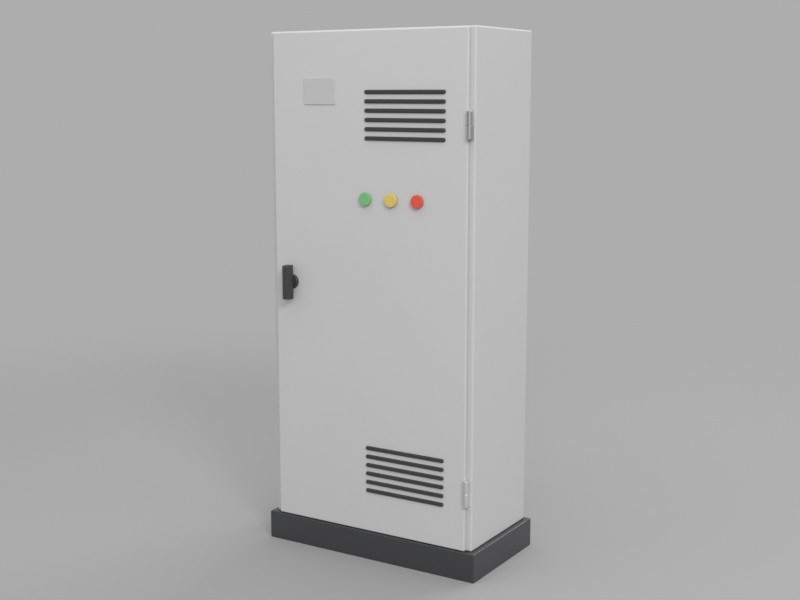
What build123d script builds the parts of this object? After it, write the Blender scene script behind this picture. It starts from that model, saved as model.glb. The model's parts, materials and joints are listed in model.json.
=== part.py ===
from build123d import *
import os
from math import acos, cos, floor, pi, radians, sin, tan

# Freestanding electrical enclosure on a plinth: a folded body, a hinged door with vents, push-buttons
# and a rod lock, and a mounting plate inside. Millimetres.
# The origin is the middle of the plinth's base on the floor, +Z is up and the door faces -Y.

# Body and plinth
body_width = 800.0
body_depth = 386.0
body_height = 1702.0
shell_sheet = 2.0
shell_fold = 6.0
plinth_height = 98.0
plinth_overhang = 20.0
plinth_sheet = 2.5
plinth_fold = 4.0
plinth_floor_flange = 60.0
floor_bolt_inset = 30.0
floor_bolt_hole_radius = 7.0
overrun = 6.0

# Front frame of the body
flange_width = 45.0
lip_depth = 12.0

# Rear of the body
rear_flange = 25.0
rear_seal_thickness = 3.0
rear_seal_width = 9.0
rear_screw_inset = 8.0
rear_sheet = 2.0
rear_play = 1.0
rear_side_screw_count = 3

# Floor of the body
bottom_flange = 50.0
gland_lap = 14.0
gland_sheet = 2.0

# Screws and bolts
thread_play = 0.05
hole_play = 0.4
foot_bolt_radius = 5.0
foot_bolt_head_radius = 9.0
foot_bolt_head_height = 6.5
foot_nut_radius = 9.5
foot_nut_height = 8.0
sheet_screw_radius = 3.0
sheet_screw_head_radius = 5.5
sheet_screw_head_height = 3.0
sheet_screw_length = 12.0
stud_radius = 2.5
stud_nut_radius = 5.0
stud_nut_height = 4.0
stud_rest = 1.5

# Mounting plate and what it carries
mount_sheet = 3.0
mount_side_gap = 40.0
mount_end_gap = 80.0
mount_rear_gap = 43.0
mount_fold = 15.0
bracket_sheet = 3.0
bracket_length = 40.0
bracket_foot = 36.0
bracket_reach = 66.0
bracket_bend = 4.0
bracket_height_shares = (0.06, 0.5, 0.94)
mount_bolt_radius = 4.0
mount_bolt_head_radius = 7.0
mount_bolt_head_height = 5.0
mount_bolt_length = 14.0
gear_side_gap = 40.0
rail_width = 35.0
rail_depth = 7.5
rail_channel = 27.0
rail_sheet = 1.0
rail_bend = 1.2
rail_height_shares = (0.32, 0.74)
duct_width = 40.0
duct_depth = 60.0
duct_wall = 2.0
duct_bend = 2.5
duct_cover_skirt = 9.0
duct_cover_play = 0.3
duct_cover_bend = 1.2
duct_finger_pitch = 20.0
duct_slot_width = 7.0
duct_slot_base = 18.0
duct_height_shares = (0.18, 0.58)
relay_count = 3
relay_width = 45.0
relay_height = 84.0
relay_depth = 78.0
relay_gap = 6.0
relay_edge = 1.5
relay_profile_shares = (
    (0, 0), (0.64, 0), (0.64, 0.22), (1, 0.22), (1, 0.78), (0.64, 0.78), (0.64, 1), (0, 1),
)
terminal_count = 16
terminal_width = 8.0
terminal_height = 56.0
terminal_depth = 44.0
terminal_profile_shares = (
    (0, 0), (0.5, 0), (0.62, 0.14), (1, 0.3), (1, 0.7), (0.62, 0.86), (0.5, 1), (0, 1),
)

# Door
door_proud = 14.0
door_inset = 20.0
door_drop = 3.0
door_lift = 1.5
door_gap = 1.0
door_sheet = 2.0
door_fold = 5.0
gasket_width = 12.0
gasket_corner = 4.0
gasket_play = 0.3
stiffener_width = 20.0
stiffener_depth = 16.0
stiffener_foot = 9.0
stiffener_sheet = 1.5
stiffener_bend = 2.0
stiffener_end_gap = 22.0
stiffener_side_gap = 12.0
stiffener_slot_pitch = 75.0
stiffener_slot_length = 24.0
stiffener_slot_width = 7.0

# Hinges
hinge_length = 88.0
hinge_radius = 9.0
hinge_pin_radius = 4.0
hinge_pin_play = 0.05
hinge_axis_inset = 11.0
hinge_axis_proud = 20.0
hinge_split = 0.3
hinge_foot_width = 10.0
hinge_foot_thickness = 5.0
hinge_neck_width = 8.0
hinge_lug_thickness = 12.0
hinge_lug_inset = 0.3
hinge_edge = 1.0
hinge_upper_drop = 305.0
hinge_lower_rise = 203.0

# Vents
vent_count = 6
vent_length = 305.0
vent_bar_height = 12.5
vent_corner = 5.0
vent_pitch = 30.0
vent_proud = 6.0
vent_wall = 2.0
vent_bevel = 2.0
vent_play = 0.5
vent_side_gap = 79.5
vent_upper_drop = 277.5
vent_lower_rise = 224.0
vent_mouth_length = 132.0
vent_mouth_web = 6.0
vent_mouth_height = 2.6
grille_base = 2.5
grille_border = 11.0
mat_thickness = 10.0
mat_play = 0.3
frame_wall = 2.5
frame_rib = 6.0
frame_columns = 4
frame_rows = 2
frame_ear = 16.0
frame_ear_thickness = 3.0
frame_ear_spread = 240.0
frame_corner = 4.0

# Plate on the door
nameplate_width = 128.0
nameplate_height = 88.0
nameplate_thickness = 3.0
nameplate_corner = 3.0
nameplate_edge = 0.8
nameplate_side_gap = 131.5
nameplate_top_drop = 156.0

# Push-buttons
button_colours = ("green", "yellow", "red")
button_pitch = 100.0
button_side_gap = 180.5
button_drop = 552.0
button_radius = 22.0
button_thickness = 9.0
button_round = 1.6
button_travel = 3.0
button_rest_gap = 0.4
button_pocket_play = 0.6
button_stem_radius = 8.0
button_stem_length = 23.5
button_stem_play = 0.05
collar_radius = 15.0
collar_flange_radius = 19.0
collar_flange = 1.5
collar_length = 12.0
collar_nut_radius = 21.0
collar_nut_height = 6.0
contact_width = 30.0
contact_height = 42.0
contact_depth = 34.0
contact_well = 11.0
contact_edge = 2.0

# Handle and lock
handle_side_gap = 73.0
grip_width = 24.0
grip_depth = 33.0
grip_height = 118.0
grip_proud = 47.0
grip_end_chamfer = 4.0
grip_edge = 2.5
neck_radius = 12.0
neck_play = 0.05
rose_radius = 24.5
rose_thickness = 10.0
rose_edge = 1.5
rose_spigot_radius = 16.0
rose_screw_radius = 2.0
rose_screw_head_radius = 4.0
rose_screw_head_height = 3.0
rose_screw_offset = 20.5
rose_screw_grip = 5.0
spindle_side = 10.0
spindle_play = 0.05
spindle_socket = 9.0
spindle_head_radius = 8.5
spindle_head_height = 4.0
catch_play = 2.0
rod_width = 9.0
rod_depth = 6.0
rod_play = 0.4
rod_tip_gap = 5.0
rod_tip_ramp = 4.0
pinion_teeth = 10
pinion_radius = 14.0
pinion_addendum_share = 0.8
pinion_dedendum_share = 1.0
pinion_backlash_share = 0.03
pinion_pressure_angle = 30.0
pinion_flank_steps = 5
pinion_overlap = 1.0
pinion_hub_radius = 11.0
pinion_end_play = 0.3
rack_teeth = 5
case_sheet = 2.0
case_height = 64.0
case_side_play = 0.6
case_rear_play = 0.5
case_ear = 13.0
tongue_reach = 64.0
tongue_hook = 18.0
tongue_width = 18.0
tongue_thickness = 5.0
tongue_ramp = 3.0
guide_wall = 5.0
guide_length = 24.0
guide_ear = 14.0
guide_ear_thickness = 3.0
guide_end_gap = 60.0

# Planes and edges that the pieces share
half_width = body_width / 2
front_y = -body_depth / 2
rear_y = body_depth / 2
body_bottom = plinth_height
body_top = plinth_height + body_height
middle_z = (body_bottom + body_top) / 2
opening_half = half_width - flange_width
opening_bottom = body_bottom + flange_width
opening_top = body_top - flange_width
lip_rear_y = front_y + lip_depth
floor_top = body_bottom + shell_sheet
rear_recess = rear_seal_thickness + rear_sheet
rear_flange_y = rear_y - rear_recess
rear_inner_y = rear_flange_y - shell_sheet
inner_half = half_width - shell_sheet
plinth_half_x = half_width + plinth_overhang
plinth_half_y = body_depth / 2 + plinth_overhang
well_half_x = inner_half - bottom_flange
well_half_y = body_depth / 2 - shell_sheet - bottom_flange
foot_bolt_inset = shell_sheet + (bottom_flange - gland_lap) / 2

door_half = half_width - door_inset
door_bottom = body_bottom + door_lift
door_top = body_top - door_drop
door_front_y = front_y - door_proud
skin_y = door_front_y + door_sheet
rim_y = front_y - door_gap

hinge_x = half_width - hinge_axis_inset
hinge_y = front_y - hinge_axis_proud
hinge_heights = {"upper": body_top - hinge_upper_drop, "lower": body_bottom + hinge_lower_rise}

vent_x = door_half - vent_side_gap - vent_length / 2
vent_heights = {"upper": body_top - vent_upper_drop, "lower": body_bottom + vent_lower_rise}
grille_width = vent_length + 2 * grille_border
grille_height = (vent_count - 1) * vent_pitch + vent_bar_height + 2 * grille_border
grille_rear_y = skin_y + grille_base
mat_rear_y = grille_rear_y + mat_thickness
frame_rear_y = mat_rear_y + mat_play + frame_wall
frame_width = grille_width + 2 * (mat_play + frame_wall)
frame_height = grille_height + 2 * (mat_play + frame_wall)

button_z = body_top - button_drop
last_button_x = door_half - button_side_gap
button_places = [last_button_x - button_pitch * i for i in reversed(range(len(button_colours)))]

handle_x = -door_half + handle_side_gap
handle_z = middle_z
rod_front_y = lip_rear_y + catch_play
rod_rear_y = rod_front_y + rod_depth
pinion_front_y = rod_front_y - pinion_overlap
pinion_rear_y = rod_rear_y + pinion_overlap
case_rear_y = pinion_rear_y + case_rear_play + case_sheet
tongue_front_y = case_rear_y + case_rear_play
tongue_rear_y = tongue_front_y + tongue_thickness
gear_module = 2 * pinion_radius / pinion_teeth
rack_pitch = pi * gear_module
rod_inner = pinion_radius + gear_module * pinion_dedendum_share
rod_outer = rod_inner + rod_width
case_half = rod_outer + case_side_play + case_sheet
rod_sides = {"upper": -1, "lower": 1}

plate_rear_y = rear_inner_y - mount_rear_gap
plate_front_y = plate_rear_y - mount_sheet
plate_half = inner_half - mount_side_gap
plate_bottom = body_bottom + mount_end_gap
plate_top = body_top - mount_end_gap
plate_height = plate_top - plate_bottom
gear_length = 2 * (plate_half - gear_side_gap)


def span(low, high):
    # Box between two corner points
    sizes = [b - a for a, b in zip(low, high)]
    middle = [(a + b) / 2 for a, b in zip(low, high)]
    return Pos(*middle) * Box(*sizes)


def block_y(sketch, x, z, low, high):
    # Sketch drawn in X and Z, carried along Y from low to high
    plane = Plane(origin=(x, high, z), x_dir=(1, 0, 0), z_dir=(0, -1, 0))
    return extrude(plane * sketch, high - low)


def block_x(sketch, y, z, low, high):
    # Sketch drawn in Y and Z, carried along X from low to high
    plane = Plane(origin=(low, y, z), x_dir=(0, 1, 0), z_dir=(1, 0, 0))
    return extrude(plane * sketch, high - low)


def block_z(sketch, x, y, low, high):
    # Sketch drawn in X and Y, carried along Z from low to high
    return extrude(Plane(origin=(x, y, low)) * sketch, high - low)


def round_y(radius, x, z, low, high):
    return block_y(Circle(radius), x, z, low, high)


def round_z(radius, x, y, low, high):
    return block_z(Circle(radius), x, y, low, high)


def front_edges(shape):
    return shape.edges().group_by(Axis.Y)[0]


def group(shapes):
    # Several like pieces that share one node and stay separate solids
    return Compound([solid for shape in shapes for solid in shape.solids()])


def folded_sheet(points, bend, sheet):
    # Section of a folded strip along its middle line
    return trace(FilletPolyline(*points, radius=bend), sheet)


def along(low, high, count):
    # Evenly spaced places from low to high
    return [low + (high - low) * i / (count - 1) for i in range(count)]


def corners(half_x, half_y):
    return [(x, y) for x in (-half_x, half_x) for y in (-half_y, half_y)]


foot_bolts = corners(half_width - foot_bolt_inset, body_depth / 2 - foot_bolt_inset)
floor_bolts = corners(plinth_half_x - floor_bolt_inset, plinth_half_y - floor_bolt_inset)


def make_plinth():
    # Ring of C-section: outer wall, top flange under the body, floor flange with bolt holes
    outer = span((-plinth_half_x, -plinth_half_y, 0), (plinth_half_x, plinth_half_y, plinth_height))
    edges = outer.edges().group_by(Axis.Z)
    outer = fillet(edges[1] + edges[2], plinth_fold)
    inner_x = plinth_half_x - plinth_sheet
    inner_y = plinth_half_y - plinth_sheet
    under_top = plinth_height - plinth_sheet
    hollow = span((-inner_x, -inner_y, plinth_sheet), (inner_x, inner_y, under_top))
    edges = hollow.edges().group_by(Axis.Z)
    hollow = fillet(edges[1] + edges[2], plinth_fold - plinth_sheet)
    well = span(
        (-well_half_x, -well_half_y, under_top - overrun),
        (well_half_x, well_half_y, plinth_height + overrun),
    )
    floor_x = plinth_half_x - plinth_floor_flange
    floor_y = plinth_half_y - plinth_floor_flange
    floor_hole = span((-floor_x, -floor_y, -overrun), (floor_x, floor_y, plinth_sheet + overrun))
    ring = outer - hollow - well - floor_hole
    nut = RegularPolygon(foot_nut_radius, 6)
    nuts = [block_z(nut, x, y, under_top - foot_nut_height, under_top) for x, y in foot_bolts]
    ring = ring + nuts
    bore = foot_bolt_radius + thread_play
    low = under_top - foot_nut_height - overrun
    holes = [round_z(bore, x, y, low, plinth_height + overrun) for x, y in foot_bolts]
    holes += [
        round_z(floor_bolt_hole_radius, x, y, -overrun, plinth_sheet + overrun)
        for x, y in floor_bolts
    ]
    return ring - holes


def make_plinth_bolts():
    low = plinth_height - plinth_sheet - foot_nut_height
    hexagon = RegularPolygon(foot_bolt_head_radius, 6)
    bolts = []
    for x, y in foot_bolts:
        head = block_z(hexagon, x, y, floor_top, floor_top + foot_bolt_head_height)
        bolts.append(head + round_z(foot_bolt_radius, x, y, low, floor_top))
    return group(bolts)


def rear_screw_places():
    x = inner_half - rear_screw_inset
    low = floor_top + rear_screw_inset
    high = body_top - shell_sheet - rear_screw_inset
    sides = [(side * x, z) for side in (-1, 1) for z in along(low, high, rear_side_screw_count)]
    return sides + [(0, low), (0, high)]


def make_body():
    # Sheet body: sides, roof, front frame with its inward lip, rear and bottom flanges
    outer = span((-half_width, front_y, body_bottom), (half_width, rear_y, body_top))
    edges = outer.edges().group_by(Axis.Y)
    outer = fillet(edges[0] + edges[1], shell_fold)
    roof = body_top - shell_sheet
    hollow = span((-inner_half, front_y + shell_sheet, floor_top), (inner_half, rear_inner_y, roof))
    edges = hollow.edges().group_by(Axis.Y)
    hollow = fillet(edges[0] + edges[1], shell_fold - shell_sheet)
    recess = span((-inner_half, rear_flange_y, floor_top), (inner_half, rear_y + overrun, roof))
    recess = fillet(recess.edges().filter_by(Axis.Y), shell_fold - shell_sheet)
    opening = span(
        (-opening_half, front_y - overrun, opening_bottom),
        (opening_half, lip_rear_y + overrun, opening_top),
    )
    rear_x = inner_half - rear_flange
    rear_opening = span(
        (-rear_x, rear_inner_y - overrun, floor_top + rear_flange),
        (rear_x, rear_flange_y + overrun, roof - rear_flange),
    )
    well = span(
        (-well_half_x, -well_half_y, body_bottom - overrun),
        (well_half_x, well_half_y, floor_top + overrun),
    )
    lip = span(
        (-opening_half - shell_sheet, front_y, opening_bottom - shell_sheet),
        (opening_half + shell_sheet, lip_rear_y, opening_top + shell_sheet),
    )
    shell = outer - hollow - recess - rear_opening - well + lip - opening
    holes = [
        round_z(foot_bolt_radius + hole_play, x, y, body_bottom - overrun, floor_top + overrun)
        for x, y in foot_bolts
    ]
    holes += [
        round_y(sheet_screw_radius + thread_play, x, z, rear_inner_y - overrun, rear_flange_y + overrun)
        for x, z in rear_screw_places()
    ]
    holes += [
        round_z(sheet_screw_radius + thread_play, x, y, body_bottom - overrun, floor_top + overrun)
        for x, y in gland_screw_places()
    ]
    return shell - holes


def split_body():
    # The front frame is a ring of U-section, welded flush to the folded sides, roof and floor
    body = make_body()
    front = span(
        (-half_width - overrun, front_y - overrun, body_bottom - overrun),
        (half_width + overrun, lip_rear_y, body_top + overrun),
    )
    return body - front, body & front


def rear_sheet_outline(inset):
    width = 2 * (inner_half - rear_play - inset)
    height = body_height - 2 * (shell_sheet + rear_play + inset)
    return RectangleRounded(width, height, shell_fold)


def make_rear_panel():
    panel = block_y(rear_sheet_outline(0), 0, middle_z, rear_y - rear_sheet, rear_y)
    holes = [
        round_y(sheet_screw_radius + hole_play, x, z, rear_y - rear_sheet - overrun, rear_y + overrun)
        for x, z in rear_screw_places()
    ]
    return panel - holes


def make_rear_seal():
    # Ring between the screws and the rear opening
    inset = rear_flange - rear_play - rear_seal_width
    ring = rear_sheet_outline(inset) - rear_sheet_outline(inset + rear_seal_width)
    return block_y(ring, 0, middle_z, rear_flange_y, rear_flange_y + rear_seal_thickness)


def make_rear_screws():
    hexagon = RegularPolygon(sheet_screw_head_radius, 6)
    screws = []
    for x, z in rear_screw_places():
        head = block_y(hexagon, x, z, rear_y, rear_y + sheet_screw_head_height)
        screws.append(head + round_y(sheet_screw_radius, x, z, rear_y - sheet_screw_length, rear_y))
    return group(screws)


def gland_screw_places():
    x = well_half_x + gland_lap / 2
    y = well_half_y + gland_lap / 2
    return corners(x, y)


def make_gland_plate():
    sheet = Rectangle(2 * (well_half_x + gland_lap), 2 * (well_half_y + gland_lap))
    plate = block_z(sheet, 0, 0, floor_top, floor_top + gland_sheet)
    bore = sheet_screw_radius + hole_play
    seat = floor_top + gland_sheet
    holes = [round_z(bore, x, y, floor_top - overrun, seat + overrun) for x, y in gland_screw_places()]
    return plate - holes


def make_gland_screws():
    hexagon = RegularPolygon(sheet_screw_head_radius, 6)
    screws = []
    seat = floor_top + gland_sheet
    for x, y in gland_screw_places():
        head = block_z(hexagon, x, y, seat, seat + sheet_screw_head_height)
        screws.append(head + round_z(sheet_screw_radius, x, y, body_bottom, seat))
    return group(screws)


def bracket_places():
    x = plate_half - (bracket_reach - mount_side_gap) / 2
    heights = [plate_bottom + plate_height * share for share in bracket_height_shares]
    return [(side, side * x, z) for side in (-1, 1) for z in heights]


def make_mounting_plate():
    # Sheet with its top and bottom edges folded to the rear
    inner = plate_rear_y - mount_sheet / 2
    section = folded_sheet(
        [
            (plate_rear_y + mount_fold, plate_bottom + mount_sheet / 2),
            (inner, plate_bottom + mount_sheet / 2),
            (inner, plate_top - mount_sheet / 2),
            (plate_rear_y + mount_fold, plate_top - mount_sheet / 2),
        ],
        mount_sheet,
        mount_sheet,
    )
    plate = block_x(section, 0, 0, -plate_half, plate_half)
    holes = [
        round_y(mount_bolt_radius + hole_play, x, z, plate_front_y - overrun, plate_rear_y + overrun)
        for side, x, z in bracket_places()
    ]
    return plate - holes


def make_brackets():
    # Angles on the side walls that carry the mounting plate
    brackets = []
    for side, x, z in bracket_places():
        wall = side * (inner_half - bracket_sheet / 2)
        tab = plate_rear_y + bracket_sheet / 2
        section = folded_sheet(
            [(wall, plate_rear_y + bracket_foot), (wall, tab), (side * (inner_half - bracket_reach), tab)],
            bracket_bend,
            bracket_sheet,
        )
        angle = block_z(section, 0, 0, z - bracket_length / 2, z + bracket_length / 2)
        far = plate_rear_y + bracket_sheet + overrun
        hole = round_y(mount_bolt_radius + thread_play, x, z, plate_rear_y - overrun, far)
        brackets.append(angle - hole)
    return group(brackets)


def make_mount_bolts():
    hexagon = RegularPolygon(mount_bolt_head_radius, 6)
    far = plate_front_y + mount_bolt_length
    bolts = []
    for side, x, z in bracket_places():
        head = block_y(hexagon, x, z, plate_front_y - mount_bolt_head_height, plate_front_y)
        bolts.append(head + round_y(mount_bolt_radius, x, z, plate_front_y, far))
    return group(bolts)


def make_din_rail(share):
    # Top-hat support rail
    z = plate_bottom + plate_height * share
    base = plate_front_y - rail_sheet / 2
    crest = plate_front_y - rail_depth + rail_sheet / 2
    side = (rail_channel - rail_sheet) / 2
    points = [
        (crest, -rail_width / 2),
        (crest, -side),
        (base, -side),
        (base, side),
        (crest, side),
        (crest, rail_width / 2),
    ]
    return block_x(folded_sheet(points, rail_bend, rail_sheet), 0, z, -gear_length / 2, gear_length / 2)


def make_duct(share):
    # Wiring duct with open fingers along both walls
    z = plate_bottom + plate_height * share
    wall = (duct_width - duct_wall) / 2
    base = plate_front_y - duct_wall / 2
    mouth = plate_front_y - duct_depth
    points = [(mouth, -wall), (base, -wall), (base, wall), (mouth, wall)]
    section = folded_sheet(points, duct_bend, duct_wall)
    duct = block_x(section, 0, z, -gear_length / 2, gear_length / 2)
    count = floor(gear_length / duct_finger_pitch)
    slots = [
        span(
            (x - duct_slot_width / 2, mouth - overrun, z - duct_width),
            (x + duct_slot_width / 2, plate_front_y - duct_slot_base, z + duct_width),
        )
        for x in [duct_finger_pitch * (i - (count - 1) / 2) for i in range(count)]
    ]
    return duct - slots


def make_duct_cover(share):
    z = plate_bottom + plate_height * share
    wall = duct_width / 2 + duct_cover_play + duct_wall / 2
    face = plate_front_y - duct_depth - duct_wall / 2
    rim = face + duct_cover_skirt
    points = [(rim, -wall), (face, -wall), (face, wall), (rim, wall)]
    section = folded_sheet(points, duct_cover_bend, duct_wall)
    return block_x(section, 0, z, -gear_length / 2, gear_length / 2)


def device_section(shares, depth, height):
    # Outline of a rail device: depth runs forwards from the rail, height is centred on it
    points = [(-u * depth, (v - 1 / 2) * height) for u, v in shares]
    return make_face(Polyline(*points, close=True))


def make_devices(shares, count, width, pitch, depth, height, share, edge):
    z = plate_bottom + plate_height * share
    section = device_section(shares, depth, height)
    devices = []
    for i in range(count):
        x = pitch * (i - (count - 1) / 2)
        device = block_x(section, plate_front_y - rail_depth, z, x - width / 2, x + width / 2)
        if edge:
            device = chamfer(front_edges(device), edge)
        devices.append(device)
    return group(devices)


def hinge_barrel(low, high):
    barrel = round_z(hinge_radius, hinge_x, hinge_y, low, high)
    ends = barrel.edges().filter_by(GeomType.CIRCLE)
    return chamfer(ends, hinge_edge)


def hinge_bore(low, high):
    return round_z(hinge_pin_radius + hinge_pin_play, hinge_x, hinge_y, low - overrun, high + overrun)


def make_hinge_frame_leaf(z):
    # Lower half: barrel, neck and foot on the body's front strip
    low = z - hinge_length / 2
    high = z - hinge_split / 2
    neck = span(
        (hinge_x - hinge_neck_width / 2, hinge_y, low),
        (hinge_x + hinge_neck_width / 2, front_y, high),
    )
    foot = span(
        (hinge_x - hinge_foot_width / 2, front_y - hinge_foot_thickness, low),
        (hinge_x + hinge_foot_width / 2, front_y, high),
    )
    return hinge_barrel(low, high) + neck + foot - hinge_bore(low, high)


def make_hinge_door_leaf(z):
    # Upper half: barrel and a lug against the door's edge
    low = z + hinge_split / 2
    high = z + hinge_length / 2
    lug_rear = rim_y - hinge_lug_inset
    lug = span((door_half, lug_rear - hinge_lug_thickness, low), (hinge_x, lug_rear, high))
    return hinge_barrel(low, high) + lug - hinge_bore(low, high)


def make_hinge_pin(z):
    return round_z(hinge_pin_radius, hinge_x, hinge_y, z - hinge_length / 2, z + hinge_length / 2)


def vent_rows(z):
    return along(z - (vent_count - 1) * vent_pitch / 2, z + (vent_count - 1) * vent_pitch / 2, vent_count)


def ear_places(z):
    offset = frame_height / 2 + frame_ear / 2
    return [(vent_x + sx * frame_ear_spread / 2, z + sz * offset) for sx in (-1, 1) for sz in (-1, 1)]


def stud_places():
    # Weld studs on the door's inner face, each with the thickness that it clamps
    ears = [place for z in vent_heights.values() for place in ear_places(z)]
    places = [(x, z, frame_ear_thickness) for x, z in ears]
    ear = case_height / 2 + case_ear / 2
    places += [(handle_x, handle_z + side * ear, case_sheet) for side in (-1, 1)]
    places += [(guide_ear_x(key), guide_z(key), guide_ear_thickness) for key in rod_sides]
    return places


def make_door_panel():
    # Tray of folded sheet with slots, holes and weld studs
    outer = span((-door_half, door_front_y, door_bottom), (door_half, rim_y, door_top))
    edges = outer.edges().group_by(Axis.Y)
    outer = fillet(edges[0] + edges[1], door_fold)
    tray = span(
        (-door_half + door_sheet, skin_y, door_bottom + door_sheet),
        (door_half - door_sheet, rim_y + overrun, door_top - door_sheet),
    )
    edges = tray.edges().group_by(Axis.Y)
    tray = fillet(edges[0] + edges[1], door_fold - door_sheet)
    studs = [
        round_y(stud_radius, x, z, skin_y, skin_y + clamped + stud_nut_height + stud_rest)
        for x, z, clamped in stud_places()
    ]
    slot = RectangleRounded(vent_length, vent_bar_height + 2 * vent_play, vent_corner + vent_play)
    low = door_front_y - overrun
    high = skin_y + overrun
    rows = [row for z in vent_heights.values() for row in vent_rows(z)]
    cuts = [block_y(slot, vent_x, row, low, high) for row in rows]
    cuts += [round_y(collar_radius + hole_play, x, button_z, low, high) for x in button_places]
    cuts.append(round_y(rose_spigot_radius + hole_play, handle_x, handle_z, low, high))
    cuts += [round_y(rose_screw_radius + hole_play, handle_x, z, low, high) for z in rose_screw_heights()]
    return outer - tray - cuts + studs


def make_gasket():
    # Sealing ring between the door's inner face and the front frame
    half = (door_half - door_sheet + opening_half) / 2
    low = (door_bottom + door_sheet + opening_bottom) / 2
    high = (door_top - door_sheet + opening_top) / 2
    width = 2 * half
    height = high - low
    outer = RectangleRounded(width + gasket_width, height + gasket_width, gasket_corner + gasket_width)
    inner = RectangleRounded(width - gasket_width, height - gasket_width, gasket_corner)
    return block_y(outer - inner, 0, (low + high) / 2, skin_y, front_y - gasket_play)


def make_stiffener(x):
    # Hat-section rail with mounting slots on the door's inner face
    crest = skin_y + stiffener_depth - stiffener_sheet / 2
    base = skin_y + stiffener_sheet / 2
    side = (stiffener_width - stiffener_sheet) / 2
    points = [
        (-side - stiffener_foot, base),
        (-side, base),
        (-side, crest),
        (side, crest),
        (side, base),
        (side + stiffener_foot, base),
    ]
    low = opening_bottom + stiffener_end_gap
    high = opening_top - stiffener_end_gap
    rail = block_z(folded_sheet(points, stiffener_bend, stiffener_sheet), x, 0, low, high)
    count = floor((high - low) / stiffener_slot_pitch)
    slot = Rectangle(stiffener_slot_width, stiffener_slot_length)
    slots = [
        block_y(slot, x, z, skin_y + stiffener_sheet, crest + overrun)
        for z in [(low + high) / 2 + stiffener_slot_pitch * (i - (count - 1) / 2) for i in range(count)]
    ]
    return rail - slots


def make_grille(z):
    # Moulded louvre: a base behind the door and hollow noses that pass its slots and breathe downwards
    nose_length = vent_length - 2 * vent_play
    front = door_front_y - vent_proud
    ceiling = front + vent_wall
    base = RectangleRounded(grille_width, grille_height, frame_corner)
    grille = block_y(base, vent_x, z, skin_y, grille_rear_y)
    nose_outline = RectangleRounded(nose_length, vent_bar_height, vent_corner)
    inside = RectangleRounded(
        nose_length - 2 * vent_wall, vent_bar_height - 2 * vent_wall, vent_corner - vent_wall
    )
    cuts = []
    for row in vent_rows(z):
        nose = block_y(nose_outline, vent_x, row, front, skin_y)
        grille += chamfer(front_edges(nose), vent_bevel)
        cuts.append(block_y(inside, vent_x, row, ceiling, grille_rear_y + overrun))
        under = row - vent_bar_height / 2
        for side in (-1, 1):
            x = vent_x + side * (vent_mouth_length + vent_mouth_web) / 2
            cuts.append(
                span(
                    (x - vent_mouth_length / 2, ceiling, under - overrun),
                    (x + vent_mouth_length / 2, ceiling + vent_mouth_height, under + vent_wall + vent_play),
                )
            )
    return grille - cuts


def make_filter_mat(z):
    mat = Rectangle(grille_width - 2 * mat_play, grille_height - 2 * mat_play)
    return block_y(mat, vent_x, z, grille_rear_y, mat_rear_y)


def make_filter_frame(z):
    # Retaining frame: a rim round grille and mat, a ribbed back and four ears on the studs
    outer = RectangleRounded(frame_width, frame_height, frame_corner)
    frame = block_y(outer, vent_x, z, skin_y, frame_rear_y)
    ear = RectangleRounded(frame_ear, frame_ear + frame_corner, frame_corner - frame_wall / 2)
    ears = [block_y(ear, x, ez, skin_y, skin_y + frame_ear_thickness) for x, ez in ear_places(z)]
    frame = frame + ears
    pocket = Rectangle(grille_width + 2 * mat_play, grille_height + 2 * mat_play)
    cuts = [block_y(pocket, vent_x, z, skin_y - overrun, mat_rear_y + mat_play)]
    cell_x = (grille_width - frame_rib) / frame_columns
    cell_z = (grille_height - frame_rib) / frame_rows
    window = Rectangle(cell_x - frame_rib, cell_z - frame_rib)
    for i in range(frame_columns):
        for j in range(frame_rows):
            x = vent_x + cell_x * (i - (frame_columns - 1) / 2)
            row = z + cell_z * (j - (frame_rows - 1) / 2)
            cuts.append(block_y(window, x, row, mat_rear_y - overrun, frame_rear_y + overrun))
    cuts += [
        round_y(stud_radius + hole_play, x, ez, skin_y - overrun, skin_y + frame_ear_thickness + overrun)
        for x, ez in ear_places(z)
    ]
    return frame - cuts


def make_door_nuts():
    hexagon = RegularPolygon(stud_nut_radius, 6)
    bore = stud_radius + thread_play
    nuts = []
    for x, z, clamped in stud_places():
        seat = skin_y + clamped
        nut = block_y(hexagon, x, z, seat, seat + stud_nut_height)
        nuts.append(nut - round_y(bore, x, z, seat - overrun, seat + stud_nut_height + overrun))
    return group(nuts)


def make_nameplate():
    x = -door_half + nameplate_side_gap + nameplate_width / 2
    z = body_top - nameplate_top_drop - nameplate_height / 2
    outline = RectangleRounded(nameplate_width, nameplate_height, nameplate_corner)
    plate = block_y(outline, x, z, door_front_y - nameplate_thickness, door_front_y)
    return chamfer(front_edges(plate), nameplate_edge)


def make_button(x):
    # Flat push-button head with its stem: a pocket in its rear takes the collar's flange when pressed
    rear = door_front_y - button_travel - button_rest_gap
    ceiling = rear - collar_flange
    head = round_y(button_radius, x, button_z, rear - button_thickness, rear)
    head = fillet(front_edges(head), button_round)
    head -= round_y(collar_flange_radius + button_pocket_play, x, button_z, ceiling, rear + overrun)
    return head + round_y(button_stem_radius, x, button_z, ceiling, rear + button_stem_length)


def make_button_collar(x):
    rear = skin_y + collar_length
    collar = round_y(collar_radius, x, button_z, door_front_y, rear)
    collar += round_y(collar_flange_radius, x, button_z, door_front_y - collar_flange, door_front_y)
    bore = button_stem_radius + button_stem_play
    return collar - round_y(bore, x, button_z, door_front_y - collar_flange - overrun, rear + overrun)


def make_button_nuts():
    hexagon = RegularPolygon(collar_nut_radius, 6)
    bore = collar_radius + thread_play
    rear = skin_y + collar_nut_height
    nuts = []
    for x in button_places:
        nut = block_y(hexagon, x, button_z, skin_y, rear)
        nuts.append(nut - round_y(bore, x, button_z, skin_y - overrun, rear + overrun))
    return group(nuts)


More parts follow.
